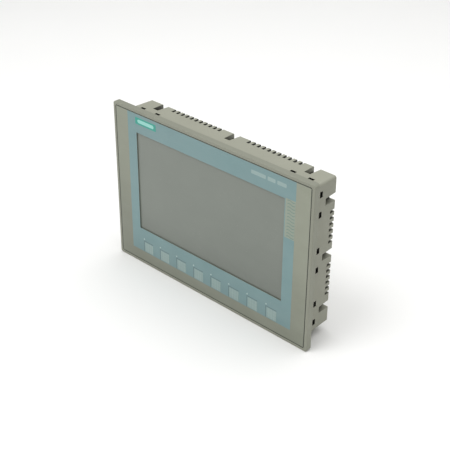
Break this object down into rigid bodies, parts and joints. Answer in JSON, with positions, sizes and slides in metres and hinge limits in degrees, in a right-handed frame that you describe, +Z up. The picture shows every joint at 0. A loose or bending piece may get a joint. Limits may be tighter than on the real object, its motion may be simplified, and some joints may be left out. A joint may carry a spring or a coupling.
{
  "type": "operator touch panel",
  "caption": "Cabinet-mounted operator panel: wide touch display in a flanged bezel, a row of membrane function keys, and a vented rear housing with clip slots and a connector bay.",
  "frame": {"origin": "centre of the seat plane, the back of the mounting gasket where the panel meets the cabinet door", "axes": "+X to the right seen from the front, +Y from the front into the cabinet, +Z up"},
  "size_m": [0.267, 0.0444, 0.182],
  "materials": {
    "bezel_plastic": "fine moulded grain, warm grey",
    "overlay_film": "satin printed film: blue-grey field on a warm grey ground",
    "key_film": "satin embossed film, light blue-grey",
    "spring_steel": "bright snap domes",
    "circuit_board": "green solder mask",
    "gasket_rubber": "matt black",
    "touch_glass": "matt anti-glare film on glass",
    "black_foam": "open-cell foam",
    "display_glass": "dark display glass",
    "white_sheet": "white sheet",
    "clear_acrylic": "clear light guide",
    "led_strip": "LED strip",
    "bright_steel": "tinned sheet",
    "plated_steel": "zinc-plated sheet",
    "screw_steel": "zinc-plated",
    "brass": "turned brass",
    "chip_black": "moulded black",
    "ferrite": "dark ferrite",
    "cream_plastic": "cream moulding",
    "aluminium_can": "bright can",
    "black_aluminium": "black anodised",
    "flat_cable": "amber polyimide",
    "green_plastic": "green moulding",
    "gold_contact": "gold-plated",
    "white_plastic": "white moulding",
    "housing_plastic": "fine moulded grain, warm grey",
    "label_foil": "silver-grey blank foil"
  },
  "bodies": {
    "panel": {"board_screws": "screw_steel", "board_standoffs": "brass", "capacitors": "aluminium_can", "carrier_plate": "plated_steel", "carrier_screws": "screw_steel", "display_connectors": "cream_plastic", "earth_insert": "brass", "ethernet_contacts": "gold_contact", "ethernet_socket": "bright_steel", "flash_chips": "chip_black", "front_bezel": "bezel_plastic", "front_overlay": "overlay_film", "heat_sink": "black_aluminium", "housing_screws": "screw_steel", "key_domes": "spring_steel", "keypad_board": "circuit_board", "keypad_cable": "flat_cable", "keypad_connector": "cream_plastic", "lcd_cable": "flat_cable", "lcd_diffuser": "white_sheet", "lcd_frame": "bright_steel", "lcd_glass": "display_glass", "lcd_reflector": "white_sheet", "led_bar": "led_strip", "light_guide": "clear_acrylic", "main_board": "circuit_board", "memory_chips": "chip_black", "mounting_gasket": "gasket_rubber", "power_header": "green_plastic", "power_inductors": "ferrite", "power_pins": "bright_steel", "processor": "chip_black", "rating_plate": "label_foil", "rear_housing": "housing_plastic", "touch_cable": "flat_cable", "touch_connector": "cream_plastic", "touch_screen": "touch_glass", "touch_seal": "black_foam", "usb_socket": "bright_steel", "usb_tongue": "white_plastic"},
    "key_1": {"function_key_1": "key_film"},
    "key_2": {"function_key_2": "key_film"},
    "key_3": {"function_key_3": "key_film"},
    "key_4": {"function_key_4": "key_film"},
    "key_5": {"function_key_5": "key_film"},
    "key_6": {"function_key_6": "key_film"},
    "key_7": {"function_key_7": "key_film"},
    "key_8": {"function_key_8": "key_film"}
  },
  "joints": [
    {"name": "key_1_press", "type": "slide", "parent": "panel", "child": "key_1", "axis": [0, 1, 0], "range_m": [0, 0.0005], "stiffness_N_per_m": 4000},
    {"name": "key_2_press", "type": "slide", "parent": "panel", "child": "key_2", "axis": [0, 1, 0], "range_m": [0, 0.0005], "stiffness_N_per_m": 4000},
    {"name": "key_3_press", "type": "slide", "parent": "panel", "child": "key_3", "axis": [0, 1, 0], "range_m": [0, 0.0005], "stiffness_N_per_m": 4000},
    {"name": "key_4_press", "type": "slide", "parent": "panel", "child": "key_4", "axis": [0, 1, 0], "range_m": [0, 0.0005], "stiffness_N_per_m": 4000},
    {"name": "key_5_press", "type": "slide", "parent": "panel", "child": "key_5", "axis": [0, 1, 0], "range_m": [0, 0.0005], "stiffness_N_per_m": 4000},
    {"name": "key_6_press", "type": "slide", "parent": "panel", "child": "key_6", "axis": [0, 1, 0], "range_m": [0, 0.0005], "stiffness_N_per_m": 4000},
    {"name": "key_7_press", "type": "slide", "parent": "panel", "child": "key_7", "axis": [0, 1, 0], "range_m": [0, 0.0005], "stiffness_N_per_m": 4000},
    {"name": "key_8_press", "type": "slide", "parent": "panel", "child": "key_8", "axis": [0, 1, 0], "range_m": [0, 0.0005], "stiffness_N_per_m": 4000}
  ]
}
